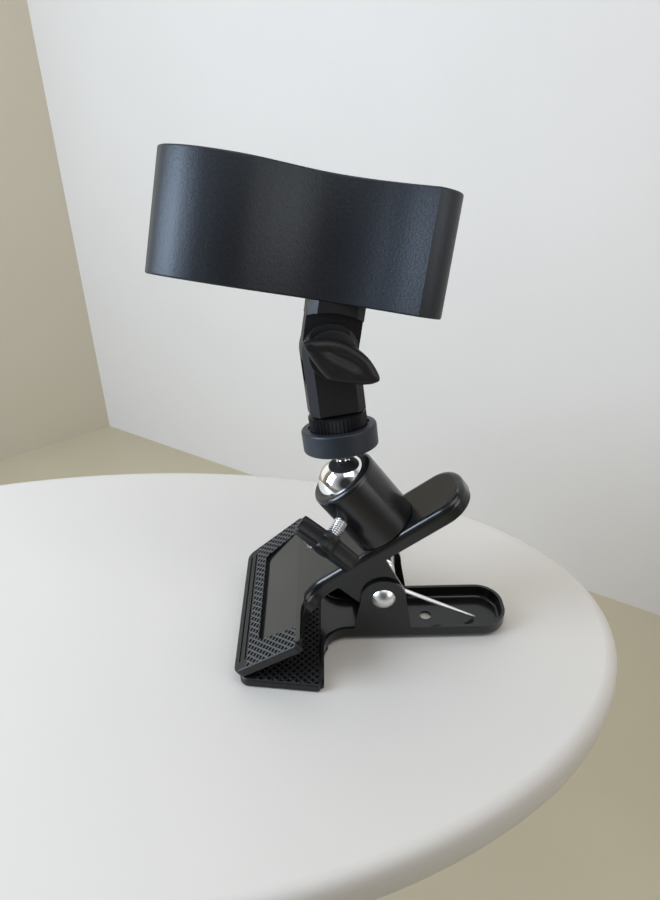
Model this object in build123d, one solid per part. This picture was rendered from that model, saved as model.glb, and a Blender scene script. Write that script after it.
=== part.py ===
from build123d import *
import math
import os

os.makedirs("parts", exist_ok=True)

# Airbrush holder stand: a spring clamp carries a small ball head, the ball head
# carries a short hinged neck, and the neck carries a two-well holder.
# Millimetres. +Z up, +X towards the clamp's handles, +Y away from the wing screws.
# Origin: on the table, straight below the clamp's pivot pin.

# ---------------------------------------------------------------- dimensions
# clamp stamping (both halves)
SHEET = 1.4            # steel thickness
X_FRONT = -62.9        # front edge of the rubber jaw
JAW_LEN = 34.6         # jaw length along the clamp
JAW_W_FRONT = 79.0     # jaw width at the front edge
JAW_W_REAR = 88.4      # jaw width at the rear edge
X_TAIL = 57.4          # end of the handle
HANDLE_W = 28.0        # handle and neck width
SKIRT = 7.3            # depth of the folded edge, outside face to rim
NECK_R = 11.5          # inside corner between jaw and neck
TAIL_R = 12.0          # corner radius of the handle's end
BEND_R = 3.0           # outside bend radius of the folded edge
JOGGLE = 1.5           # the jaw plate sits this far inside the handle's face
LUG_R = 10.0           # rounded top of the pivot lugs
# rubber jaws
PAD_T = 4.6            # full thickness of a rubber jaw
PAD_EDGE = 2.3         # rubber outside the plate's edge
PAD_BAND = 13.2        # front band before the window
PAD_SIDE = 10.5        # side band beside the window
# pivot and spring
Z_PIVOT = 24.7
PIN_R = 3.0
BUSH_R = 4.4
WIRE = 1.8
COIL_R = 5.6
COIL_PITCH = 2.0
COIL_TURNS = 9
# ball head
X_HEAD = 18.4          # along the upper plate
X_HOLE = 21.2          # spare hole in the lower plate
HEAD_R = 14.65
HEAD_H = 31.4
BALL_R = 11.6
BALL_DEEP = 3.7        # ball centre below the mouth
STUD_LEVEL = 18.5      # locking screw above the head's base
LOCK_STUD_R = 2.95
# platform, lock ring, neck
DISC_R = 15.5
DISC_Z0, DISC_Z1 = 15.5, 25.0
RING_R = 11.9
RING_Z0, RING_Z1 = 24.35, 30.6
THREAD_R = 3.15        # 1/4 inch stud
NECK_W, NECK_D = 22.4, 18.0
NECK_Z0 = 31.0
KNUCKLE_Z = 56.5
NECK_CHAMFER = 3.4
TONGUE_T = 8.0
BOLT_R = 2.5           # M5
# holder
WALL = 2.8
FLOOR = 3.0
HOLDER_H = 45.8
HOLDER_D = 46.0
BLOCK_TOP = 18.3       # knuckle axis to the holder's floor


# ---------------------------------------------------------------- small helpers
def vec(*c):
    return Vector(*c)


def closed(points):
    return make_face(Polyline(*points, close=True))


def prism(face, z0, z1):
    return Pos(0, 0, z0) * extrude(face, z1 - z0)


def slab_xz(points, y0, y1):
    """Outline drawn in X-Z, extruded from y0 to y1."""
    pl = Plane(origin=(0, y0, 0), x_dir=(1, 0, 0), z_dir=(0, -1, 0))
    return extrude(pl * make_face(Polyline(*points, close=True)), -(y1 - y0))


def rod(p0, p1, r):
    """Round bar from p0 to p1."""
    a, b = vec(*p0), vec(*p1)
    d = b - a
    pl = Plane(origin=a, z_dir=d)
    return pl * Cylinder(r, d.length, align=(Align.CENTER, Align.CENTER, Align.MIN))


def cyl(r, z0, z1, x=0.0, y=0.0):
    return Pos(x, y, z0) * Cylinder(r, z1 - z0, align=(Align.CENTER, Align.CENTER, Align.MIN))


def box(x0, x1, y0, y1, z0, z1):
    return Pos(x0, y0, z0) * Box(x1 - x0, y1 - y0, z1 - z0, align=(Align.MIN, Align.MIN, Align.MIN))


def near(edges, test):
    return [e for e in edges if test(e.center(), e)]


def tidy(shape):
    """One clean solid, or a group of clean solids."""
    s = shape.solids()
    if len(s) == 1:
        return s[0]
    return Compound(children=list(s))


def save(name, shape):
    shape = tidy(shape)
    shape.label = name
    export_step(shape, "parts/" + name + ".step")
    return shape


# ---------------------------------------------------------------- frames
# the jaws meet on the rounded inner front edges of the two rubber jaws
_c = (X_FRONT + 1.2, PAD_T - 1.2)
_r = math.hypot(_c[0], _c[1] - Z_PIVOT)
HALF = math.atan2(Z_PIVOT - _c[1], -_c[0]) - math.asin(1.25 / _r)
PIVOT = vec(0, 0, Z_PIVOT)
MID = Axis((0, 0, Z_PIVOT), (math.cos(HALF), 0, math.sin(HALF)))
ALPHA = 2 * HALF
L = vec(math.cos(ALPHA), 0, math.sin(ALPHA))      # along the upper plate
N = vec(-math.sin(ALPHA), 0, math.cos(ALPHA))     # out of the upper plate


def flipped(shape):
    """The upper clamp half is the lower one turned half a turn about the middle line."""
    return shape.rotate(MID, 180)


HEAD_FOOT = PIVOT + L * X_HEAD + N * Z_PIVOT
head = Plane(origin=HEAD_FOOT, x_dir=L, z_dir=N)
BALL = HEAD_FOOT + N * (HEAD_H - BALL_DEEP)

STEM_DIR = vec(-0.108, 0.208, 0.972).normalized()
_turn = math.radians(9.0)
_f = vec(math.sin(_turn), -math.cos(_turn), 0)
FRONT = (_f - STEM_DIR * _f.dot(STEM_DIR)).normalized()    # knuckle bolt, towards the wing
stem = Plane(origin=BALL, x_dir=(FRONT * -1).cross(STEM_DIR), z_dir=STEM_DIR)
KNUCKLE = BALL + STEM_DIR * KNUCKLE_Z
TILT = math.radians(15.7)
_u = STEM_DIR * math.cos(TILT) + stem.x_dir * math.sin(TILT)
arm = Plane(origin=KNUCKLE, x_dir=(FRONT * -1).cross(_u), z_dir=_u)

HOLDER_UP = vec(0.1740, 0.3150, 0.9330).normalized()
_hx = vec(0.9830, -0.0660, -0.1640)
_hx = (_hx - HOLDER_UP * _hx.dot(HOLDER_UP)).normalized()
HOLDER_FOOT = KNUCKLE + _u * BLOCK_TOP
# the block stands under x = 1.5 of the holder, and half-way through its depth
holder = Plane(origin=HOLDER_FOOT, x_dir=_hx, z_dir=HOLDER_UP)
HOLDER_X, HOLDER_Y = -1.5, 0.0

# ---------------------------------------------------------------- clamp stamping
xr = X_FRONT + JAW_LEN
hf, hr = JAW_W_FRONT / 2, JAW_W_REAR / 2
hw = HANDLE_W / 2
pf, pr = hf - PAD_EDGE, hr - PAD_EDGE
xe = xr + 1.5
outline = closed([
    (X_FRONT + PAD_EDGE, -pf), (xe, -pr), (xe, -hw), (X_TAIL, -hw),
    (X_TAIL, hw), (xe, hw), (xe, pr), (X_FRONT + PAD_EDGE, pf)])
outline = fillet(near(outline.vertices(), lambda c, v: abs(c.X - xe) < 0.1 and abs(abs(c.Y) - hw) < 0.1), NECK_R)
outline = fillet(near(outline.vertices(), lambda c, v: abs(c.X - X_TAIL) < 0.1), TAIL_R)
outline = fillet(near(outline.vertices(), lambda c, v: abs(c.Y) > pf - 0.1 and c.X < X_FRONT + 5), 3.0)
outline = fillet(near(outline.vertices(), lambda c, v: abs(c.Y) > pr - 0.1 and c.X > xe - 1), 1.2)

J0, J1 = -50.0, -29.0          # where the joggle runs
jaw_sheet = slab_xz([
    (X_FRONT - 1, JOGGLE), (J0, JOGGLE), (J1, 0), (-25.0, 0), (-25.0, SHEET),
    (J1 - 0.5, SHEET), (J0, JOGGLE + SHEET), (X_FRONT - 1, JOGGLE + SHEET)], -60, 60)
jaw_plate = jaw_sheet & prism(outline, -1, 6)

tray = prism(outline, 0, SKIRT)
tray = fillet(near(tray.edges(), lambda c, e: c.Z < 0.01), BEND_R)
inner = offset(outline, -SHEET, kind=Kind.ARC)
hollow = prism(inner, SHEET, SKIRT + 5)
hollow = fillet(near(hollow.edges(), lambda c, e: c.Z < SHEET + 0.01), BEND_R - SHEET)
tray = tray - hollow
# the folded wall runs round the necked corners and dies out along the jaw's rear edge
low = SHEET + 0.02
keep_face = Plane(origin=(xr + 0.05, 0, 0), x_dir=(0, 1, 0), z_dir=(1, 0, 0)) * make_face(Polyline(
    (-60, -1), (60, -1), (60, low), (38.0, low), (18.0, SKIRT), (18.0, 20), (-18.0, 20), (-18.0, SKIRT), (-38.0, low), (-60, low), close=True))
keep = extrude(keep_face, 100)
tray = tray & keep


def lug(y0, y1):
    a = 14.0
    foot = slab_xz([(-a, 0.4), (a, 0.4), (LUG_R * 0.985, Z_PIVOT), (-LUG_R * 0.985, Z_PIVOT)], y0, y1)
    eye = Pos(0, (y0 + y1) / 2, Z_PIVOT) * Rot(90, 0, 0) * Cylinder(LUG_R, y1 - y0)
    return foot + eye


lugs_out = lug(-hw, -hw + SHEET)
lugs_in = lug(hw - 2 * SHEET - 0.2, hw - SHEET - 0.2)
lugs_in = lugs_in & box(-60, 60, 0, hw, 0.7, 60)
plate = jaw_plate + tray + (lugs_out & box(-60, 60, -hw, 0, 3.2, 60)) + lugs_in
pin_hole = Pos(0, 0, Z_PIVOT) * Rot(90, 0, 0) * Cylinder(PIN_R + 0.05, 60)
plate = plate - pin_hole


def drilled(p, x):
    return p - cyl(2.75 if x == X_HOLE else 3.1, -2, 4, x=x)


lower_plate = save("lower_plate", drilled(plate, X_HOLE))
upper_plate = save("upper_plate", flipped(drilled(plate, X_HEAD)))

# ---------------------------------------------------------------- rubber jaws
pad_out = closed([(X_FRONT, -hf), (xr, -hr), (xr, hr), (X_FRONT, hf)])
pad_out = fillet(near(pad_out.vertices(), lambda c, v: c.X < X_FRONT + 1), 4.5)
pad_out = fillet(near(pad_out.vertices(), lambda c, v: c.X > xr - 1), 1.5)
pad = prism(pad_out, 0, PAD_T)
pad = fillet(near(pad.edges(), lambda c, e: (c.Z < 0.01 or c.Z > PAD_T - 0.01) and c.X < xr - 0.5), 1.2)
# window in the outer face, open to the rear
wf, wr = hf - PAD_SIDE, hr - PAD_SIDE
window = closed([(X_FRONT + PAD_BAND, -wf + 1), (xr + 2, -wr), (xr + 2, wr), (X_FRONT + PAD_BAND, wf - 1)])
window = fillet(near(window.vertices(), lambda c, v: c.X < xr - 2), 3.0)
pad = pad - prism(window, -1, JOGGLE + 0.5)
# two grooves along the front edge
for gx in (3.0, 6.0):
    pad = pad - box(X_FRONT + gx, X_FRONT + gx + 0.8, -hf + 4.5, hf - 4.5, -1, 0.6)
pad = pad - jaw_plate - tray
pad = pad - box(xr - 6, xr + 2, -hw - NECK_R, hw + NECK_R, -1, SHEET + JOGGLE + 0.05)
pad_solids = sorted(pad.solids(), key=lambda s: -s.volume)
pad = pad_solids[0]
save("lower_pad", pad)
save("upper_pad", flipped(pad))

# ---------------------------------------------------------------- pivot and spring
y_out = hw + 0.15
pin = rod((0, -y_out, Z_PIVOT), (0, y_out, Z_PIVOT), PIN_R)
dome = Pos(0, -y_out + 3.9, Z_PIVOT) * Sphere(6.5)
dome = dome & (Pos(0, -y_out - 1.3, Z_PIVOT) * Rot(90, 0, 0) * Cylinder(5.2, 2.6))
rolled = rod((0, y_out, Z_PIVOT), (0, y_out + 1.5, Z_PIVOT), 4.6)
rolled = fillet(near(rolled.edges(), lambda c, e: c.Y > y_out + 1.4), 0.9)
save("pivot_rivet", pin + dome + rolled)

y_in = hw - 2 * SHEET - 0.2
bush = rod((0, -y_in + 0.25, Z_PIVOT), (0, y_in - 0.25, Z_PIVOT), BUSH_R)
bush = bush - rod((0, -y_in - 1, Z_PIVOT), (0, y_in + 1, Z_PIVOT), PIN_R + 0.06)
save("pivot_sleeve", bush)

# torsion spring: angles are measured in X-Z about the pivot, from +X towards +Z
Y_COIL = -9.7
foot_a = vec(43.5, -3.0, SHEET + WIRE / 2 + 0.05)     # tip of the lower leg, on the tray's floor
_q = foot_a - PIVOT
a1 = math.atan2(_q.Z, _q.X) + math.acos(COIL_R / math.hypot(_q.X, _q.Z))
a2 = math.radians(2.0)                        # where the upper leg leaves the coil
sweep_angle = 2 * math.pi * COIL_TURNS + a2 - a1
rise = COIL_PITCH * sweep_angle / (2 * math.pi)
coil = Plane(origin=(0, Y_COIL, Z_PIVOT), x_dir=(math.cos(a1), 0, math.sin(a1)), z_dir=(0, 1, 0)) * Helix(
    pitch=COIL_PITCH, height=rise, radius=COIL_R, lefthand=True)
p_a, p_b = coil @ 0, coil @ 1
d_b = coil % 1
reach = (Z_PIVOT - SHEET) - 0.7
len_b = (reach - (p_b - PIVOT).dot(N)) / d_b.dot(N)
# the lower leg is cranked towards the middle of the tray
crank = p_a - (coil % 0) * 3.0
straight = foot_a + (crank - foot_a) * (1 - 3.0 / (crank - foot_a).length)
wire_path = Wire([Line(foot_a, straight), Bezier(straight, crank, p_a), coil.edges()[0], Line(p_b, p_b + d_b * len_b)])
d_foot = (straight - foot_a).normalized()
spring = sweep(Plane(origin=foot_a, z_dir=d_foot) * Circle(WIRE / 2), path=wire_path)
save("torsion_spring", spring)

# ---------------------------------------------------------------- ball head
body = cyl(HEAD_R, 0, HEAD_H)
body = fillet(near(body.edges(), lambda c, e: c.Z > HEAD_H - 0.01), 2.2)
body = chamfer(near(body.edges(), lambda c, e: c.Z < 0.01), 0.5)
zb = HEAD_H - BALL_DEEP
body = body - cyl(11.9, -1, zb) - (Pos(0, 0, zb) * Sphere(11.75))
# direction of the locking screw, out of the housing, in the head's own frame
LOCK = vec(-0.664, -0.748, 0)
body = body - rod(vec(0, 0, STUD_LEVEL), vec(0, 0, STUD_LEVEL) + LOCK * 20, LOCK_STUD_R + 0.1)
body = sorted(body.solids(), key=lambda s: -s.volume)[0]
save("ball_housing", head * body)
plug = cyl(11.85, 0.02, 5.0) - cyl(3.0, -1, 6)
save("base_plug", head * plug)
washer = cyl(5.4, -SHEET - 1.05, -SHEET - 0.03) - cyl(3.1, -5, 1)
save("head_washer", head * washer)
z_h = -SHEET - 1.08
screw = cyl(2.96, z_h - 0.1, 4.7) + cyl(4.6, z_h - 3.4, z_h)
hexa = extrude(Pos(0, 0, z_h - 3.4) * RegularPolygon(2.3, 6), 2.2)
screw = screw - hexa
save("head_screw", head * screw)
seat = cyl(11.8, 5.2, 21.3) - (Pos(0, 0, zb) * Sphere(11.66)) - cyl(4.0, 4, 30)
save("ball_seat", head * seat)


def lock_at(r):
    return vec(0, 0, STUD_LEVEL) + LOCK * r


save("lock_tip", head * rod(lock_at(11.95), lock_at(13.4), 2.8))
stud = rod(lock_at(13.45), lock_at(27.5), LOCK_STUD_R)
save("lock_stud", head * stud)
# wing grip: hub round the stud, two flat wings
side = vec(-0.748, 0.664, 0)
w_dir = (vec(0, 0, 1) * 0.923 + side * 0.384).normalized()
grip_pl = Plane(origin=lock_at(22.3), x_dir=w_dir, z_dir=LOCK)
GR_T = 7.9
wing2d = closed([(-14.2, -2.3), (-13.2, -2.9), (-5.5, -3.7), (5.5, -3.7), (13.2, -2.9), (14.2, -2.3),
                 (14.2, 2.3), (13.2, 2.9), (5.5, 3.7), (-5.5, 3.7), (-13.2, 2.9), (-14.2, 2.3)])
grip = extrude(wing2d, GR_T) + cyl(5.2, 0, GR_T)
grip = grip - cyl(LOCK_STUD_R + 0.01, -1, 5.3)
save("lock_grip", head * (grip_pl * grip))

# ---------------------------------------------------------------- ball, platform, ring
ball = Sphere(BALL_R) + cyl(3.1, 8, DISC_Z0 - 0.02) + cyl(4.3, DISC_Z0 - 1.6, DISC_Z0 - 0.02)
save("ball_stem", stem * ball)
disc = cyl(DISC_R, DISC_Z0, DISC_Z1)
disc = fillet(near(disc.edges(), lambda c, e: True), 1.0)
disc = disc - cyl(12.7, DISC_Z1 - 0.75, DISC_Z1 + 1) - cyl(THREAD_R + 0.05, 0, 40)
save("platform", stem * disc)
save("top_stud", stem * (cyl(THREAD_R, DISC_Z0 + 0.02, 41.0)))

teeth = 48
ring_pts = []
for i in range(teeth * 2):
    an = math.pi * i / teeth
    r = RING_R if i % 2 == 0 else RING_R - 0.55
    ring_pts.append((r * math.cos(an), r * math.sin(an)))
ring = prism(closed(ring_pts), RING_Z0, RING_Z1)
ring = ring & (cyl(RING_R + 1, RING_Z0, RING_Z1 - 0.5) + Pos(0, 0, RING_Z1 - 0.5) * Cone(RING_R, RING_R - 0.8, 0.5, align=(Align.CENTER, Align.CENTER, Align.MIN)))
ring = ring - cyl(THREAD_R + 0.06, 0, 60)
save("lock_ring", stem * ring)

# ---------------------------------------------------------------- neck with two ears
w2, d2 = NECK_W / 2, NECK_D / 2
plan = closed([(-w2, -d2), (w2, -d2), (w2, d2), (-w2, d2)])
plan = chamfer(plan.vertices(), NECK_CHAMFER)
column = prism(plan, NECK_Z0, KNUCKLE_Z + 20)
front_view = closed([(-w2, NECK_Z0), (w2, NECK_Z0), (w2, KNUCKLE_Z), (-w2, KNUCKLE_Z)])


def xz_extrude(pts_xz, y0, y1):
    return slab_xz(pts_xz, y0, y1)


def xz_disc(r, z, y0, y1):
    return Pos(0, (y0 + y1) / 2, z) * Rot(90, 0, 0) * Cylinder(r, y1 - y0)


profile = xz_extrude([(-w2, NECK_Z0), (w2, NECK_Z0), (w2, KNUCKLE_Z), (-w2, KNUCKLE_Z)], -d2, d2) + xz_disc(w2, KNUCKLE_Z, -d2, d2)
neck = column & profile
slot_w = TONGUE_T / 2 + 0.3
neck = neck - box(-w2 - 1, w2 + 1, -slot_w, slot_w, KNUCKLE_Z - w2 - 0.7, KNUCKLE_Z + 30)
# lower rim of the neck is relieved, and it takes a brass threaded insert from below
neck = chamfer(near(neck.edges(), lambda c, e: c.Z < NECK_Z0 + 0.01), 0.8)
INS_R = 5.0
neck = neck - cyl(INS_R + 0.02, NECK_Z0 - 1, 41.5)
neck = neck - xz_disc(BOLT_R + 0.05, KNUCKLE_Z, -30, 30)
# hexagon pocket for the bolt's head in the rear ear
hex_pl = Plane(origin=(0, d2 - 3.4, KNUCKLE_Z), x_dir=(1, 0, 0), z_dir=(0, 1, 0))
neck = neck - extrude(hex_pl * RegularPolygon(4.65, 6), 10)
neck = sorted(neck.solids(), key=lambda s: -s.volume)[0]
save("neck_body", stem * neck)
insert = cyl(INS_R, NECK_Z0 + 0.3, 41.4) - cyl(THREAD_R + 0.04, 0, 60)
save("neck_insert", stem * insert)
GRIP_Y = -(d2 + 0.35)                        # inner face of the wing, in front of the front ear
bolt = xz_disc(BOLT_R, KNUCKLE_Z, -d2 - 7.9, d2 - 3.3) + extrude(hex_pl * Pos(0, 0, 0.05) * RegularPolygon(4.55, 6), 3.1)
save("knuckle_bolt", stem * bolt)
thrust = xz_disc(8.4, KNUCKLE_Z, GRIP_Y - 1.0, GRIP_Y + 0.1) - xz_disc(BOLT_R + 0.06, KNUCKLE_Z, -40, 40)
save("thrust_washer", stem * thrust)

# wing screw: round flange, then a leaf-shaped grip, drawn about the bolt
WG_Y = GRIP_Y - 1.05
leaf_pts = [(-11.3, 6.6), (-9.2, 1.1), (-6.1, -4.8), (-2.8, -8.7), (3.3, -10.9), (9.8, -12.5), (14.0, -12.6), (16.4, -11.0),
            (14.1, -4.5), (10.5, 0.3), (5.0, 4.5), (-0.4, 6.6), (-5.9, 7.4), (-9.6, 7.5)]
leaf = make_face(Wire([Spline(*[vec(*q) for q in leaf_pts[:8]]),
                       Spline(*[vec(*q) for q in leaf_pts[7:] + leaf_pts[:1]])]))
face_pl = Plane(origin=(0, WG_Y, KNUCKLE_Z), x_dir=(1, 0, 0), z_dir=(0, -1, 0))
flange = xz_disc(9.6, KNUCKLE_Z, WG_Y - 2.6, WG_Y)
blade = extrude(face_pl * Pos(0, 0, 2.2) * leaf, 6.0)
wing = flange + blade
wing = wing - xz_disc(4.0, KNUCKLE_Z, WG_Y - 6.9, WG_Y + 1)
save("wing_grip", stem * wing)
nut = xz_disc(3.98, KNUCKLE_Z, WG_Y - 6.8, WG_Y) - xz_disc(BOLT_R + 0.04, KNUCKLE_Z, -40, 40)
save("wing_nut", stem * nut)

# ---------------------------------------------------------------- holder
# front wall in plan: x along the holder, depth behind the foremost line; the rear
# wall is its mirror image
front_pts = [(-71.2, 16.2), (-70.2, 13.1), (-66.9, 8.3), (-60.4, 3.7), (-53.9, 1.3), (-47.5, 0.3),
             (-41.0, 0.2), (-34.5, 1.3), (-28.0, 3.8), (-21.6, 6.9), (-15.1, 10.0), (-8.6, 12.1),
             (-2.1, 13.0), (4.3, 12.7), (10.8, 11.5), (17.3, 9.5), (23.8, 7.1), (32.0, 3.2)]
MIDD = HOLDER_D / 2
front_line = Spline(*[vec(x, -MIDD + d) for x, d in front_pts], tangents=[vec(0, -1), vec(1, -0.5)],
                    tangent_scalars=[0.3, 0.3])
corner_line = ThreePointArc(vec(32.0, -MIDD + 3.2), vec(38.9, -MIDD + 7.4), vec(41.9, -MIDD + 14.4))


def plan_at(inset, steps=64, arc_steps=7):
    """Closed plan of the holder, moved inwards by inset."""
    c, r = corner_line.arc_center, corner_line.radius - inset
    pts = []
    for i in range(steps + 1):
        t = i / steps
        p, g = front_line.position_at(t), front_line.tangent_at(t)
        q = p + vec(-g.Y, g.X) * inset
        if q.X > c.X and (q - c).length > r - 0.02 and i > steps - 8:
            break
        pts.append(q)
    if inset == 0:
        start = front_line.position_at(1)
    else:
        g = front_line.tangent_at(1)
        q = front_line.position_at(1) + vec(-g.Y, g.X) * inset
        w = q - c
        bb, cc = w.dot(g), w.dot(w) - r * r
        root = math.sqrt(bb * bb - cc)
        start = q + g * min((-bb - root, -bb + root), key=abs)
    while pts and (pts[-1].X > start.X - 0.6):
        pts.pop()
    e = corner_line.position_at(1) - c
    a_s = math.atan2((start - c).Y, (start - c).X)
    a_e = math.atan2(e.Y, e.X)
    for i in range(arc_steps + 1):
        an = a_s + (a_e - a_s) * i / arc_steps
        pts.append(c + vec(math.cos(an), math.sin(an)) * r)
    loop = [(p.X, p.Y) for p in pts]
    loop += [(x, -y) for x, y in reversed(loop)]
    return closed(loop)


plan_face = plan_at(0)
inner_face = plan_at(WALL)
DIV_X, DIV_T = 1.5, 2.4
shell = extrude(plan_face, HOLDER_H)
well = Pos(0, 0, FLOOR) * extrude(inner_face, HOLDER_H)
divider = box(DIV_X - DIV_T / 2, DIV_X + DIV_T / 2, -MIDD, MIDD, 0, HOLDER_H - 6.0)
shell = shell - (well - divider)
# two countersunk screws hold the shell on its block
SX = (-HOLDER_X - 6.5, -HOLDER_X + 6.5)
for sx in SX:
    shell = shell - cyl(1.8, -1, FLOOR + 1, x=sx) - Pos(sx, 0, FLOOR - 1.5) * Cone(1.75, 3.3, 1.52, align=(Align.CENTER, Align.CENTER, Align.MIN))
shell = sorted(shell.solids(), key=lambda s: -s.volume)[0]
place = holder * Pos(HOLDER_X, HOLDER_Y, 0)
save("holder_shell", place * shell)

screws = []
for sx in SX:
    s = cyl(1.48, -8.0, FLOOR - 0.3, x=sx) + Pos(sx, 0, FLOOR - 1.47) * Cone(1.6, 3.1, 1.4, align=(Align.CENTER, Align.CENTER, Align.MIN))
    s = s - box(sx - 2.2, sx + 2.2, -0.35, 0.35, FLOOR - 0.6, FLOOR + 1) - box(sx - 0.35, sx + 0.35, -2.2, 2.2, FLOOR - 0.6, FLOOR + 1)
    screws.append(place * s)
save("holder_screws", screws[0] + screws[1])

# soft pads on the floors of the two wells
pad_face = plan_at(WALL + 0.4)
liner = Pos(0, 0, FLOOR + 0.05) * extrude(pad_face, 2.0)
liner_left = liner & box(-80, DIV_X - DIV_T / 2 - 0.4, -40, 40, 0, 10)
liner_right = liner & box(DIV_X + DIV_T / 2 + 0.4, 60, -40, 40, 0, 10)
save("well_liner", (place * liner_left) + (place * liner_right))

# hinge block under the holder: two shoulders and a tongue between the neck's ears
sh = [(-w2, 15.3 - 2.4)] + [(x, 15.3 - x * x / 60.0) for x in (-9, -6, -3, 0, 3, 6, 9)] + [(w2, 15.3 - 2.4), (w2, 30), (-w2, 30)]
shoulders = xz_extrude(sh, -d2, d2)
shoulders = shoulders & prism(plan, 0, 40)
tongue = xz_disc(w2, 0, -TONGUE_T / 2, TONGUE_T / 2) + box(-w2, w2, -TONGUE_T / 2, TONGUE_T / 2, 0, 30)
block = shoulders + tongue
block = block - xz_disc(BOLT_R + 0.08, 0, -30, 30)
block = arm * block
# everything above the holder's underside is cut off
cutter = place * (Pos(0, 0, 0) * Box(300, 300, 80, align=(Align.CENTER, Align.CENTER, Align.MIN)))
block = block - cutter
for sx in SX:
    block = block - place * cyl(1.5, -8.4, 1, x=sx)
block = sorted(block.solids(), key=lambda s: -s.volume)[0]
save("holder_block", block)
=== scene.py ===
import math

import bmesh
import bpy
from mathutils import Matrix, Vector


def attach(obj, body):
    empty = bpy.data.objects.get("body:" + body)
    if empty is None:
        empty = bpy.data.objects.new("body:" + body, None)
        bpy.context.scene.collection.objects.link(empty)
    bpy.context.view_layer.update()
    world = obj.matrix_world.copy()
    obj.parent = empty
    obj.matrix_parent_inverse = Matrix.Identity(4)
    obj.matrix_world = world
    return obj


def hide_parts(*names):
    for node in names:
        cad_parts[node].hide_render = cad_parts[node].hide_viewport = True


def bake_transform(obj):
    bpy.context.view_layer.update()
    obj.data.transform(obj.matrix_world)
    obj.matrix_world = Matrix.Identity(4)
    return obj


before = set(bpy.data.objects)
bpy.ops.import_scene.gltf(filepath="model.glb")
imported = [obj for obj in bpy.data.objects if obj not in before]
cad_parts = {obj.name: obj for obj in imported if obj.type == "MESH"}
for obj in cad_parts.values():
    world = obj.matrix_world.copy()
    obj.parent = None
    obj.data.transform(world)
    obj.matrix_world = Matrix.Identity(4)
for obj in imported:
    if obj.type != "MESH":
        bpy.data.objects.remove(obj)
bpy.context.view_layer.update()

MM = 0.001

# ------------------------------------------------------------------ frames, in the row frame (metres)
def V(*a):
    return Vector(a)


PIVOT = V(0, 0, 24.7) * MM
_a = math.radians(35.896677)
L = V(math.cos(_a), 0, math.sin(_a))
N = V(-math.sin(_a), 0, math.cos(_a))
Y = V(0, 1, 0)
FOOT = PIVOT + L * 18.4 * MM + N * 24.7 * MM
BALL = FOOT + N * 27.7 * MM
D = V(-0.108, 0.208, 0.972).normalized()
_t = math.radians(9.0)
_f = V(math.sin(_t), -math.cos(_t), 0)
FRONT = (_f - D * _f.dot(D)).normalized()
SX = (-FRONT).cross(D).normalized()
KN = BALL + D * 56.5 * MM
_g = math.radians(15.7)
U_ARM = (D * math.cos(_g) + SX * math.sin(_g)).normalized()
HU = V(0.1740, 0.3150, 0.9330).normalized()
HX = V(0.9830, -0.0660, -0.1640)
HX = (HX - HU * HX.dot(HU)).normalized()
HY = HU.cross(HX)
HF = KN + U_ARM * 18.3 * MM
LOCK = (L * -0.664 + Y * -0.748).normalized()


def frame_matrix(origin, x, y, z):
    m = Matrix.Identity(4)
    for i, c in enumerate((x, y, z)):
        m[0][i], m[1][i], m[2][i] = c.x, c.y, c.z
    m[0][3], m[1][3], m[2][3] = origin
    return m


M_HOLDER = frame_matrix(HF + HX * (-1.5 * MM), HX, HY, HU)
M_FACE = frame_matrix(KN, SX, D, FRONT)          # x along the wing, y up the neck, z towards the wing
_side = (L * -0.748 + Y * 0.664).normalized()
_w = (N * 0.923 + _side * 0.384).normalized()
M_GRIP = frame_matrix(FOOT + N * 18.5 * MM + LOCK * 22.3 * MM, _w, LOCK.cross(_w), LOCK)


# ------------------------------------------------------------------ materials
def new_mat(name, color, rough, metal=0.0, spec=0.5, coat=0.0, coat_rough=0.1):
    m = bpy.data.materials.new(name)
    m.use_nodes = True
    b = m.node_tree.nodes["Principled BSDF"]
    b.inputs["Base Color"].default_value = (*color, 1)
    b.inputs["Roughness"].default_value = rough
    b.inputs["Metallic"].default_value = metal
    b.inputs["Specular IOR Level"].default_value = spec
    b.inputs["Coat Weight"].default_value = coat
    b.inputs["Coat Roughness"].default_value = coat_rough
    return m, m.node_tree, b


def coords(nt):
    g = nt.nodes.new("ShaderNodeNewGeometry")
    return g.outputs["Position"]


def obj_coords(nt):
    t = nt.nodes.new("ShaderNodeTexCoord")
    return t.outputs["Object"]


def noise(nt, vec, scale, detail=2.0, rough=0.5):
    n = nt.nodes.new("ShaderNodeTexNoise")
    n.inputs["Scale"].default_value = scale
    n.inputs["Detail"].default_value = detail
    n.inputs["Roughness"].default_value = rough
    nt.links.new(vec, n.inputs["Vector"])
    return n.outputs["Fac"]


def remap(nt, v, a, b, c, d):
    n = nt.nodes.new("ShaderNodeMapRange")
    n.inputs["From Min"].default_value = a
    n.inputs["From Max"].default_value = b
    n.inputs["To Min"].default_value = c
    n.inputs["To Max"].default_value = d
    nt.links.new(v, n.inputs["Value"])
    return n.outputs["Result"]


def mix_rgb(nt, fac, c0, c1):
    n = nt.nodes.new("ShaderNodeMix")
    n.data_type = "RGBA"
    n.inputs["A"].default_value = (*c0, 1)
    n.inputs["B"].default_value = (*c1, 1)
    nt.links.new(fac, n.inputs["Factor"])
    return n.outputs["Result"]


def bump(nt, bsdf, height, distance, strength=1.0, chain=None):
    n = nt.nodes.new("ShaderNodeBump")
    n.inputs["Distance"].default_value = distance
    n.inputs["Strength"].default_value = strength
    nt.links.new(height, n.inputs["Height"])
    if chain is not None:
        nt.links.new(chain, n.inputs["Normal"])
    nt.links.new(n.outputs["Normal"], bsdf.inputs["Normal"])
    return n.outputs["Normal"]


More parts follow.
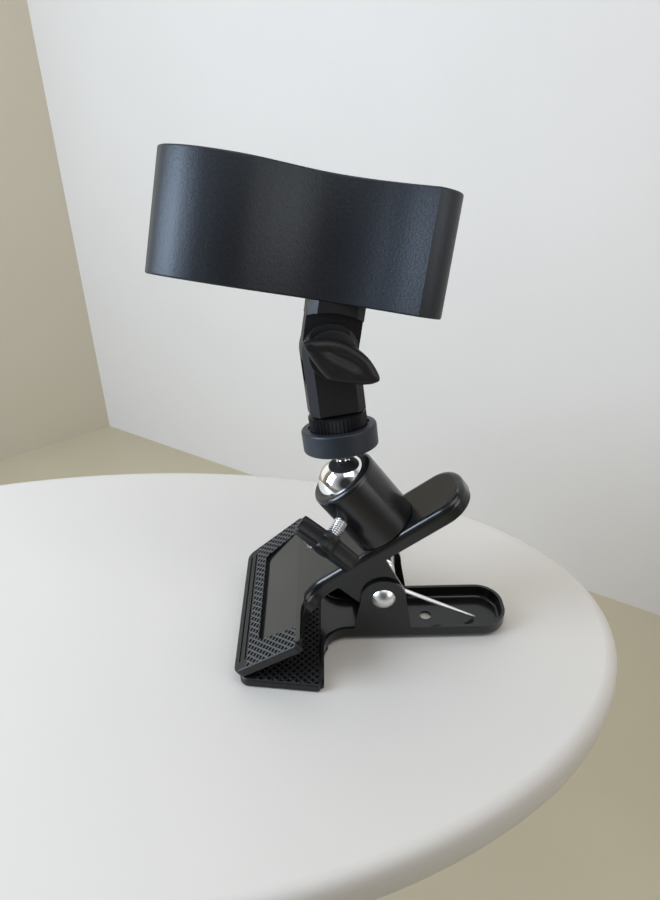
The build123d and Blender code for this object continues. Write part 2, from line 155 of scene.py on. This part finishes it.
def math_node(nt, op, a, b=None, c=None):
    n = nt.nodes.new("ShaderNodeMath")
    n.operation = op
    for i, v in enumerate((a, b, c)):
        if v is None:
            continue
        if isinstance(v, (int, float)):
            n.inputs[i].default_value = v
        else:
            nt.links.new(v, n.inputs[i])
    return n.outputs[0]


def dot(nt, vec, d):
    n = nt.nodes.new("ShaderNodeVectorMath")
    n.operation = "DOT_PRODUCT"
    nt.links.new(vec, n.inputs[0])
    n.inputs[1].default_value = tuple(d)
    return n.outputs["Value"]


def speckled(name, color, rough, spread=0.25, scale=900.0, bump_mm=0.03, metal=0.0, spec=0.5, coat=0.0, coat_rough=0.1,
             wear=0.0):
    """A coloured surface with fine grain, slow blotches and slightly uneven gloss."""
    m, nt, b = new_mat(name, color, rough, metal, spec, coat, coat_rough)
    p = obj_coords(nt)
    fine = noise(nt, p, scale, 3.0, 0.6)
    slow = noise(nt, p, 35.0, 3.0, 0.55)
    both = math_node(nt, "MULTIPLY_ADD", fine, 0.5, math_node(nt, "MULTIPLY", slow, 0.5))
    c0 = tuple(c * (1 - spread) for c in color)
    c1 = tuple(min(1, c * (1 + spread)) for c in color)
    nt.links.new(mix_rgb(nt, remap(nt, both, 0.35, 0.65, 0, 1), c0, c1), b.inputs["Base Color"])
    nt.links.new(remap(nt, slow, 0.3, 0.7, max(0.02, rough * 0.85), min(1, rough * 1.15)), b.inputs["Roughness"])
    if bump_mm:
        bump(nt, b, fine, bump_mm * MM)
    return m


mat_clamp = speckled("clamp_gloss", (0.0075, 0.0078, 0.0080), 0.20, 0.25, 500, 0.004, spec=0.34, coat=0.28, coat_rough=0.08)
mat_rivet = speckled("rivet_zinc", (0.80, 0.80, 0.78), 0.34, 0.08, 400, 0.01, metal=1.0)
mat_wire = speckled("spring_wire", (0.86, 0.86, 0.85), 0.22, 0.08, 700, 0.006, metal=1.0)
mat_steel = speckled("bright_steel", (0.74, 0.75, 0.77), 0.26, 0.08, 500, 0.006, metal=1.0)
mat_dark_steel = speckled("dark_steel", (0.05, 0.05, 0.055), 0.38, 0.2, 500, 0.01, metal=0.7)
mat_head = speckled("head_satin", (0.008, 0.008, 0.0085), 0.26, 0.2, 900, 0.006, spec=0.45, coat=0.2, coat_rough=0.18)
mat_chrome = speckled("ball_chrome", (0.93, 0.93, 0.94), 0.045, 0.02, 300, 0.0, metal=1.0)
mat_disc = speckled("disc_anodised", (0.021, 0.026, 0.034), 0.42, 0.12, 1200, 0.008, metal=0.2, spec=0.4)
mat_ring = speckled("ring_black", (0.006, 0.006, 0.007), 0.40, 0.3, 900, 0.01, spec=0.32)
mat_neck = speckled("neck_plastic", (0.0115, 0.0112, 0.0125), 0.44, 0.14, 1500, 0.012, spec=0.30)
mat_wing = speckled("wing_plastic", (0.0085, 0.0083, 0.0088), 0.42, 0.15, 1500, 0.012, spec=0.32)
mat_brass = speckled("brass", (0.72, 0.52, 0.22), 0.28, 0.1, 500, 0.006, metal=1.0)
mat_liner = speckled("liner_foam", (0.010, 0.010, 0.011), 0.9, 0.4, 2200, 0.12, spec=0.2)


def holder_material():
    """Black plastic with a very fine moulded grain and an even satin sheen."""
    m, nt, b = new_mat("holder_grain", (0.012, 0.0122, 0.0135), 0.42, 0, 0.50)
    # painted light colour: the reflections are tinted blue for the cool window light
    b.inputs["Specular Tint"].default_value = (0.82, 0.90, 1.0, 1)
    p = obj_coords(nt)
    fine = noise(nt, p, 2400, 3.0, 0.6)
    mid = noise(nt, p, 900, 3.0, 0.6)
    slow = noise(nt, p, 22, 2.0, 0.5)
    nt.links.new(mix_rgb(nt, remap(nt, mid, 0.3, 0.7, 0, 1), (0.0080, 0.0083, 0.0100), (0.0125, 0.0130, 0.0155)), b.inputs["Base Color"])
    nt.links.new(remap(nt, slow, 0.3, 0.7, 0.40, 0.45), b.inputs["Roughness"])
    h = math_node(nt, "MULTIPLY_ADD", fine, 0.5, math_node(nt, "MULTIPLY", mid, 0.8))
    bump(nt, b, h, 0.10 * MM)
    return m


mat_holder = holder_material()


def pad_material(name, along, out, start, light):
    """Black rubber. The flat faces carry a raised net of crossing ridges behind the two grooves of the front edge; the sides are smooth.
    along runs from the front edge to the rear, out is square to the face, start is where the diamonds begin."""
    m, nt, b = new_mat(name, (0.007, 0.007, 0.007), 0.5, 0, 0.4)
    p = obj_coords(nt)
    s = dot(nt, p, along)
    y = dot(nt, p, (0, 1, 0))
    k = 2 * math.pi / (3.4 * MM)
    a = math_node(nt, "SINE", math_node(nt, "MULTIPLY", math_node(nt, "ADD", s, y), k))
    c = math_node(nt, "SINE", math_node(nt, "MULTIPLY", math_node(nt, "SUBTRACT", s, y), k))
    ridges = math_node(nt, "MAXIMUM", a, c)
    t = nt.nodes.new("ShaderNodeTexCoord")
    flat = math_node(nt, "GREATER_THAN", math_node(nt, "ABSOLUTE", dot(nt, t.outputs["Normal"], out)), 0.93)
    behind = math_node(nt, "GREATER_THAN", s, start)
    mask = math_node(nt, "MULTIPLY", flat, behind)
    shaped = remap(nt, ridges, 0.0, 0.8, 0, 1)
    grain = noise(nt, p, 1800, 3.0, 0.6)
    h = math_node(nt, "MULTIPLY_ADD", grain, 0.04, math_node(nt, "MULTIPLY", shaped, mask))
    bump(nt, b, h, 0.30 * MM)
    # mask of the ridges, which are painted lighter as a painted highlight
    painted_ridge_highlight = math_node(nt, "MULTIPLY", remap(nt, ridges, 0.35, 0.85, 0, 1), mask)
    # painted shade in the pits: a dark colour and little specular; painted highlight on the ridges: a lighter colour;
    # the smooth edges shine a little
    painted_pit_shade = math_node(nt, "MULTIPLY", remap(nt, ridges, 0.35, 0.75, 1, 0), mask)
    nt.links.new(remap(nt, painted_pit_shade, 0, 1, 0.40, 0.03), b.inputs["Specular IOR Level"])
    nt.links.new(mix_rgb(nt, painted_ridge_highlight, (0.0040, 0.0040, 0.0040), light), b.inputs["Base Color"])
    nt.links.new(remap(nt, painted_ridge_highlight, 0, 1, 0.46, 0.36), b.inputs["Roughness"])
    return m


# painted shade: the lower pad's ridges get a far darker colour than the upper pad's, for the shadow the lower pad lies
# in
mat_pad_low_shaded = pad_material("jaw_rubber_low_shaded", V(1, 0, 0), V(0, 0, 1), -55.6 * MM, (0.014, 0.014, 0.015))
mat_pad_up = pad_material("jaw_rubber_up", L, N, PIVOT.dot(L) - 55.6 * MM, (0.060, 0.061, 0.064))

cad_mats = {
    "lower_plate": mat_clamp, "upper_plate": mat_clamp, "lower_pad": mat_pad_low_shaded, "upper_pad": mat_pad_up,
    "pivot_rivet": mat_rivet, "pivot_sleeve": mat_steel, "torsion_spring": mat_wire,
    "head_screw": mat_dark_steel, "head_washer": mat_dark_steel, "base_plug": mat_head, "ball_housing": mat_head,
    "lock_tip": mat_brass, "lock_stud": mat_steel, "lock_grip": mat_wing, "ball_seat": mat_neck,
    "ball_stem": mat_chrome, "platform": mat_disc, "top_stud": mat_steel, "lock_ring": mat_ring,
    "neck_body": mat_neck, "neck_insert": mat_brass, "knuckle_bolt": mat_dark_steel, "thrust_washer": mat_dark_steel,
    "wing_grip": mat_wing, "wing_nut": mat_brass, "holder_block": mat_neck, "holder_shell": mat_holder,
    "holder_screws": mat_dark_steel, "well_liner": mat_liner}
for node, mat in cad_mats.items():
    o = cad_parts[node]
    o.data.materials.clear()
    o.data.materials.append(mat)


# ------------------------------------------------------------------ mesh helpers
def add_object(name, bm, mat, body, smooth_deg=32.0):
    me = bpy.data.meshes.new(name)
    bmesh.ops.recalc_face_normals(bm, faces=bm.faces[:])
    bm.to_mesh(me)
    bm.free()
    me.materials.append(mat)
    o = bpy.data.objects.new(name, me)
    bpy.context.scene.collection.objects.link(o)
    for p in me.polygons:
        p.use_smooth = True
    bpy.context.view_layer.objects.active = o
    for q in bpy.context.selected_objects:
        q.select_set(False)
    o.select_set(True)
    bpy.ops.object.shade_smooth_by_angle(angle=math.radians(smooth_deg))
    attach(o, body)
    return o


def loft_rings(bm, rings, close_first=True, close_last=True):
    """rings: lists of 3-D points, all of one length, each closed."""
    rows = [[bm.verts.new(p) for p in r] for r in rings]
    for a, b in zip(rows, rows[1:]):
        n = len(a)
        for i in range(n):
            bm.faces.new((a[i], a[(i + 1) % n], b[(i + 1) % n], b[i]))
    if close_first:
        bm.faces.new(list(reversed(rows[0])))
    if close_last:
        bm.faces.new(rows[-1])
    return rows


def inset_poly(pts, d):
    """Moves a closed 2-D outline (anticlockwise) inwards by d."""
    n = len(pts)
    out = []
    for i in range(n):
        x0, y0 = pts[i - 1]
        x1, y1 = pts[i]
        x2, y2 = pts[(i + 1) % n]
        e1 = Vector((x1 - x0, y1 - y0)).normalized()
        e2 = Vector((x2 - x1, y2 - y1)).normalized()
        n1, n2 = Vector((-e1.y, e1.x)), Vector((-e2.y, e2.x))
        k = (n1 + n2)
        c = max(0.35, k.length_squared / 2)
        k = k / c
        out.append((x1 + k.x * d, y1 + k.y * d))
    return out


def catmull(points, per=6, closed=False, tension=0.5):
    n = len(points)
    out = []
    rng = range(n) if closed else range(n - 1)
    for i in rng:
        p1, p2 = Vector(points[i]), Vector(points[(i + 1) % n])
        p0 = Vector(points[i - 1]) if (closed or i > 0) else p1 * 2 - p2
        p3 = Vector(points[(i + 2) % n]) if (closed or i + 2 < n) else p2 * 2 - p1
        for j in range(per):
            t = j / per
            out.append(tuple(0.5 * ((2 * p1) + (p2 - p0) * t + (2 * p0 - 5 * p1 + 4 * p2 - p3) * t * t
                                    + (3 * p1 - p0 - 3 * p2 + p3) * t ** 3)))
    if not closed:
        out.append(tuple(points[-1]))
    return out


# ------------------------------------------------------------------ holder shell
H, MID, WALL, FLOOR = 45.8, 23.0, 2.8, 3.0
front = [(-71.2, 16.2), (-70.2, 13.1), (-66.9, 8.3), (-60.4, 3.7), (-53.9, 1.3), (-47.5, 0.3), (-41.0, 0.2), (-34.5, 1.3),
         (-28.0, 3.8), (-21.6, 6.9), (-15.1, 10.0), (-8.6, 12.1), (-2.1, 12.9), (4.3, 12.7), (10.8, 11.5), (17.3, 9.5),
         (23.8, 7.1), (32.0, 3.2)]


def arc3(a, b, c, steps):
    ax, ay = a; bx, by = b; cx, cy = c
    d = 2 * (ax * (by - cy) + bx * (cy - ay) + cx * (ay - by))
    ux = ((ax * ax + ay * ay) * (by - cy) + (bx * bx + by * by) * (cy - ay) + (cx * cx + cy * cy) * (ay - by)) / d
    uy = ((ax * ax + ay * ay) * (cx - bx) + (bx * bx + by * by) * (ax - cx) + (cx * cx + cy * cy) * (bx - ax)) / d
    r = math.hypot(ax - ux, ay - uy)
    t0, t1 = math.atan2(ay - uy, ax - ux), math.atan2(cy - uy, cx - ux)
    return [(ux + r * math.cos(t0 + (t1 - t0) * i / steps), uy + r * math.sin(t0 + (t1 - t0) * i / steps)) for i in range(1, steps + 1)]


low = catmull([(x, -MID + d) for x, d in front], per=5)
low += arc3((32.0, -MID + 3.2), (38.9, -MID + 7.4), (41.9, -MID + 14.4), 10)
outline = low + [(x, -y) for x, y in reversed(low)]


def ring3(poly, z, m):
    return [m @ V(x * MM, y * MM, z * MM) for x, y in poly]


def rounded(poly, z_edge, z_dir, r, steps, first_to_last):
    """Rings of a quarter-round edge between a side wall and a flat end. z_dir is +1 when the end is above the wall."""
    out = []
    for i in range(steps + 1):
        t = math.pi / 2 * i / steps
        if not first_to_last:
            t = math.pi / 2 - t
        out.append((r * (1 - math.cos(t)), z_edge - z_dir * r * (1 - math.sin(t))))
    return out


R_EDGE = 0.8
rings = []
for ins, z in [(R_EDGE * (1 - math.cos(math.pi / 2 * (1 - i / 4))), R_EDGE * (1 - math.sin(math.pi / 2 * (1 - i / 4)))) for i in range(5)]:
    rings.append((ins, z))
for i in range(5):
    t = math.pi / 2 * i / 4
    rings.append((R_EDGE * (1 - math.cos(t)), H - R_EDGE * (1 - math.sin(t))))
r_in = 0.6
for i in range(5):
    t = math.pi / 2 * (1 - i / 4)
    rings.append((WALL - r_in * (1 - math.cos(t)), H - r_in * (1 - math.sin(t))))
rings.append((WALL, FLOOR + 0.02))
bm = bmesh.new()
polys = []
for ins, z in rings:
    p = inset_poly(outline, ins) if ins > 1e-6 else outline
    polys.append(ring3(p, z, M_HOLDER))
loft_rings(bm, polys)
# divider between the wells, its top rounded and a little below the rim
DX, DT, DTOP = 1.5, 1.2, H - 6.0
inner = inset_poly(outline, WALL)


def half_depth(x):
    best = None
    n = len(inner)
    for i in range(n):
        (x0, y0), (x1, y1) = inner[i], inner[(i + 1) % n]
        if y0 < 0 and (x0 - x) * (x1 - x) <= 0 and abs(x1 - x0) > 1e-9:
            y = y0 + (y1 - y0) * (x - x0) / (x1 - x0)
            best = y if best is None else min(best, y)
    return -best


hd = half_depth(DX) + 0.6
prof = [(-DT, FLOOR), (-DT, DTOP - DT)] + [(-DT * math.cos(math.pi * i / 8), DTOP - DT + DT * math.sin(math.pi * i / 8)) for i in range(1, 8)] + [(DT, DTOP - DT), (DT, FLOOR)]
loft_rings(bm, [[M_HOLDER @ V((DX + x) * MM, s * hd * MM, z * MM) for x, z in prof] for s in (-1, 1)])
shell = add_object("holder_shell_skin", bm, mat_holder, "holder", 38)
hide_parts("holder_shell")


# ------------------------------------------------------------------ wing grip on the knuckle bolt
leaf = [(-11.3, 6.6), (-9.2, 1.1), (-6.1, -4.8), (-2.8, -8.7), (3.3, -10.9), (9.8, -12.5), (14.0, -12.6), (16.4, -11.0),
        (14.1, -4.5), (10.5, 0.3), (5.0, 4.5), (-0.4, 6.6), (-5.9, 7.4), (-9.6, 7.5)]
leaf = [(x * 0.985, y * 0.985) for x, y in leaf]
leaf = catmull(leaf, per=5, closed=True)
Z0 = 9.0 + 0.35 + 1.05
bm = bmesh.new()
layers = [(0.9, Z0 + 2.25), (0.25, Z0 + 2.5), (0.0, Z0 + 3.1), (0.0, Z0 + 5.9), (0.25, Z0 + 6.9), (0.9, Z0 + 7.6), (1.9, Z0 + 8.05), (3.0, Z0 + 8.15)]
rows = []
for ins, z in layers:
    p = inset_poly(leaf, ins) if ins > 0 else leaf
    rows.append([M_FACE @ V(x * MM, y * MM, z * MM) for x, y in p])
# dished top with a deep diagonal groove and a ridge below it
core = inset_poly(leaf, 3.0)
cx = sum(p[0] for p in core) / len(core)
cy = sum(p[1] for p in core) / len(core)


def top_shape(x, y):
    # s is the distance above a line from the upper left tip to the lower right tip, u runs along it
    dx, dy = 27.0, -18.0
    ln = math.hypot(dx, dy)
    s = -((x + 10.5) * dy - (y - 6.5) * dx) / ln
    u = ((x - cx) * dx + (y - cy) * dy) / ln
    fade = math.exp(-(u / 8.0) ** 4)
    return fade * (0.80 * math.exp(-((s + 2.0) / 2.2) ** 2) - 0.95 * math.exp(-((s - 1.6) / 1.5) ** 2))


for k in (0.9, 0.8, 0.7, 0.6, 0.5, 0.4, 0.3, 0.2, 0.1, 0.03):
    sink = 0.25 * (1 - k) ** 0.5
    rows.append([M_FACE @ V((cx + (x - cx) * k) * MM, (cy + (y - cy) * k) * MM,
                            (Z0 + 8.15 - sink + min(0.9, (1 - k) * 6) * top_shape(cx + (x - cx) * k, cy + (y - cy) * k)) * MM) for x, y in core])
loft_rings(bm, rows)


def disc_rings(r_list, m, seg=56):
    return [[m @ V(r * math.cos(2 * math.pi * i / seg) * MM, r * math.sin(2 * math.pi * i / seg) * MM, z * MM) for i in range(seg)] for r, z in r_list]


loft_rings(bm, disc_rings([(2.7, Z0 + 0.05), (9.1, Z0 + 0.05), (9.45, Z0 + 0.2), (9.6, Z0 + 0.6), (9.6, Z0 + 2.0), (9.4, Z0 + 2.45), (9.0, Z0 + 2.6), (5.0, Z0 + 2.6)], M_FACE), True, True)
wing = add_object("wing_grip_skin", bm, mat_wing, "wing", 40)
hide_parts("wing_grip")


# ------------------------------------------------------------------ wing grip of the ball lock
gt = 7.9
bar = [(-14.2, -2.3), (-13.2, -2.9), (-5.5, -3.7), (5.5, -3.7), (13.2, -2.9), (14.2, -2.3),
       (14.2, 2.3), (13.2, 2.9), (5.5, 3.7), (-5.5, 3.7), (-13.2, 2.9), (-14.2, 2.3)]


def resample(poly, step):
    out = []
    n = len(poly)
    for i in range(n):
        a, b = Vector(poly[i]), Vector(poly[(i + 1) % n])
        k = max(1, int((b - a).length / step))
        out += [tuple(a.lerp(b, j / k)) for j in range(k)]
    return out


bar = resample(bar, 1.2)
bm = bmesh.new()
lay = [(1.0, 0.05), (0.3, 0.3), (0.0, 1.0), (0.0, 2.5), (0.28, 2.85), (0.28, 3.15), (0.0, 3.5), (0.0, gt - 1.2), (0.25, gt - 0.5), (1.0, gt - 0.05), (1.6, gt - 0.02)]
loft_rings(bm, [[M_GRIP @ V(x * MM, y * MM, z * MM) for x, y in (inset_poly(bar, i) if i else bar)] for i, z in lay])
loft_rings(bm, disc_rings([(3.3, 0.02), (4.8, 0.02), (5.15, 0.3), (5.15, 2.5), (4.9, 2.8), (4.9, 3.2), (5.15, 3.5), (5.15, gt - 0.7), (4.7, gt - 0.1), (3.2, gt - 0.02)], M_GRIP))
grip = add_object("lock_grip_skin", bm, mat_wing, "lock_knob", 40)
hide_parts("lock_grip")


# ------------------------------------------------------------------ screw threads
def thread(name, m, r, depth, pitch, z0, z1, mat, body, node, seg=28):
    """A bar along m's z with a rolled thread: rings whose radius follows a wave that climbs one pitch per turn."""
    per = 8
    rows_n = int((z1 - z0) / pitch * per)
    bm = bmesh.new()
    rings = []
    for j in range(rows_n + 1):
        z = z0 + (z1 - z0) * j / rows_n
        ring = []
        for i in range(seg):
            a = 2 * math.pi * i / seg
            ph = (z / pitch - a / (2 * math.pi)) % 1.0
            tri = abs(ph * 2 - 1)
            w = min(1.0, max(0.0, (tri - 0.12) / 0.76))
            end = min(1.0, (z - z0) / 0.7 + 0.0, (z1 - z) / 0.7 + 0.0)
            rr = r - depth * (1 - w)
            rr = min(rr, r - depth * (1 - max(0.0, end)))
            ring.append(m @ V(rr * math.cos(a) * MM, rr * math.sin(a) * MM, z * MM))
        rings.append(ring)
    loft_rings(bm, rings)
    o = add_object(name, bm, mat, body, 50)
    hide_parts(node)
    return o


M_LOCK = frame_matrix(FOOT + N * 18.5 * MM, _w, LOCK.cross(_w), LOCK)
thread("lock_stud_thread", M_LOCK, 2.94, 0.55, 1.0, 13.46, 27.4, mat_steel, "lock_knob", "lock_stud")
M_STEM = frame_matrix(BALL, SX, D.cross(SX), D)
thread("top_stud_thread", M_STEM, 3.14, 0.6, 1.27, 15.55, 40.9, mat_steel, "ball_link", "top_stud")

# ------------------------------------------------------------------ torsion spring
# a world-space copy of the CAD spring takes its place as one rigid piece
_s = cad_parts["torsion_spring"]
_me = _s.data.copy()
_me.transform(_s.matrix_world)
_me.name = "torsion_spring_wound"
spring = bpy.data.objects.new("torsion_spring_wound", _me)
bpy.context.scene.collection.objects.link(spring)
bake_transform(spring)
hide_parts("torsion_spring")

# ------------------------------------------------------------------ round table, room corner, light
def stage_mat(name, c, rough=0.6, spec=0.3, grain=0.02):
    m, nt, bs = new_mat(name, c, rough, 0, spec)
    p = coords(nt)
    f = noise(nt, p, 6.0, 3.0, 0.5)
    c0 = tuple(v * (1 - grain) for v in c)
    c1 = tuple(min(1, v * (1 + grain)) for v in c)
    nt.links.new(mix_rgb(nt, remap(nt, f, 0.3, 0.7, 0, 1), c0, c1), bs.inputs["Base Color"])
    return m


def stage_mesh(name, bm, mat, smooth=False):
    me = bpy.data.meshes.new(name)
    bmesh.ops.recalc_face_normals(bm, faces=bm.faces[:])
    bm.to_mesh(me)
    bm.free()
    me.materials.append(mat)
    o = bpy.data.objects.new(name, me)
    bpy.context.scene.collection.objects.link(o)
    if smooth:
        for p in me.polygons:
            p.use_smooth = True
    return o


TCX, TCY, TA, TB = -0.135, -0.002, 0.237, 0.1315
bm = bmesh.new()
edge = [(0.0, -0.0002), (0.0020, -0.0005), (0.0042, -0.0018), (0.0058, -0.0042), (0.0062, -0.008), (0.0055, -0.018), (0.002, -0.026), (-0.006, -0.031)]
loft_rings(bm, [[V(TCX + (TA + e) * math.cos(2 * math.pi * i / 180), TCY + (TB + e) * math.sin(2 * math.pi * i / 180), z)
                 for i in range(180)] for e, z in edge])
table = stage_mesh("table_top", bm, stage_mat("table_white", (0.600, 0.570, 0.525), 0.5, 0.35, 0.01), True)
for p in table.data.polygons:
    if len(p.vertices) > 4:
        p.use_smooth = False

CX, CY, ZF = -0.374, 0.789, -0.33


def wall(name, dx, dy, mat, z0, z1, off=0.0):
    bm = bmesh.new()
    nx, ny = dy * off, -dx * off
    vs = [bm.verts.new(q) for q in ((CX + nx, CY + ny, z0), (CX + dx * 3 + nx, CY + dy * 3 + ny, z0), (CX + dx * 3 + nx, CY + dy * 3 + ny, z1), (CX + nx, CY + ny, z1))]
    bm.faces.new(vs)
    return stage_mesh(name, bm, mat)


wall("wall_right", 0.843, -0.538, stage_mat("wall_pale", (0.77, 0.735, 0.70), 0.8, 0.1, 0.01), ZF, 2.6)
# the left wall is a warmer beige and is also painted darker than the right wall as painted shade
wall("wall_left", -0.814, -0.581, stage_mat("wall_warm_shaded", (0.56, 0.505, 0.395), 0.8, 0.1, 0.01), ZF, 2.6)
bm = bmesh.new()
bm.faces.new([bm.verts.new(q) for q in ((-4, -3, ZF), (4, -3, ZF), (4, 2, ZF), (-4, 2, ZF))])
stage_mesh("room_floor", bm, stage_mat("floor_warm", (0.50, 0.45, 0.33), 0.6, 0.2, 0.03))

world = bpy.data.worlds.new("studio")
bpy.context.scene.world = world
world.use_nodes = True
world.node_tree.nodes["Background"].inputs["Color"].default_value = (0.95, 0.97, 1.0, 1)
# the room is darker right behind the viewer
_wt = world.node_tree
_wd = _wt.nodes.new("ShaderNodeTexCoord")
_lit = remap(_wt, dot(_wt, _wd.outputs["Generated"], V(-0.054, -0.913, 0.396).normalized()), 0.70, 0.95, 0.48, 0.03)
_wt.links.new(_lit, world.node_tree.nodes["Background"].inputs["Strength"])
bpy.context.scene.view_settings.view_transform = "Standard"


def area(name, loc, target, size, power, color=(1, 1, 1), size_y=None):
    d = bpy.data.lights.new(name, "AREA")
    d.shape = "RECTANGLE"
    d.size = size
    d.size_y = size_y or size
    d.energy = power
    d.color = color
    o = bpy.data.objects.new(name, d)
    bpy.context.scene.collection.objects.link(o)
    o.location = loc
    o.rotation_mode = "QUATERNION"
    o.rotation_quaternion = (Vector(target) - Vector(loc)).to_track_quat("-Z", "Y")
    return o


C0 = (-0.02, 0.0, 0.11)
area("key_left", (-0.80, -0.22, 0.40), C0, 0.42, 10.4, (0.70, 0.83, 1.0), 0.6)
area("top_back", (-0.20, 0.40, 0.95), C0, 0.7, 2.2, (1.0, 0.995, 0.98), 0.5)
area("fill_right", (0.78, -0.52, 0.42), C0, 0.55, 2.3, (1.0, 0.98, 0.97), 0.6)
area("back_left", (-0.66, 0.48, 0.20), C0, 0.50, 0.48, (0.90, 0.95, 1.0), 0.6)
area("wall_wash", (0.2, -0.4, 1.1), (0.1, 0.5, 0.1), 0.8, 3.0, (1.0, 1.0, 1.0), 0.6)

# ------------------------------------------------------------------ camera
cam_d = bpy.data.cameras.new("camera")
cam_d.sensor_fit = "HORIZONTAL"
cam_d.sensor_width = 36.0
cam_d.lens = 36.0 * 750.0 / 660.0
cam_d.clip_start = 0.01
cam_d.clip_end = 20
cam = bpy.data.objects.new("camera", cam_d)
bpy.context.scene.collection.objects.link(cam)
_R = V(0.999781, -0.010836, -0.017921).normalized()
_F = V(0.0, 0.855726, -0.51743).normalized()
_U = _R.cross(_F).normalized()
cam.matrix_world = frame_matrix(V(-22.23, -262.35, 252.08) * MM, _R, _U, -_F)
bpy.context.scene.camera = cam
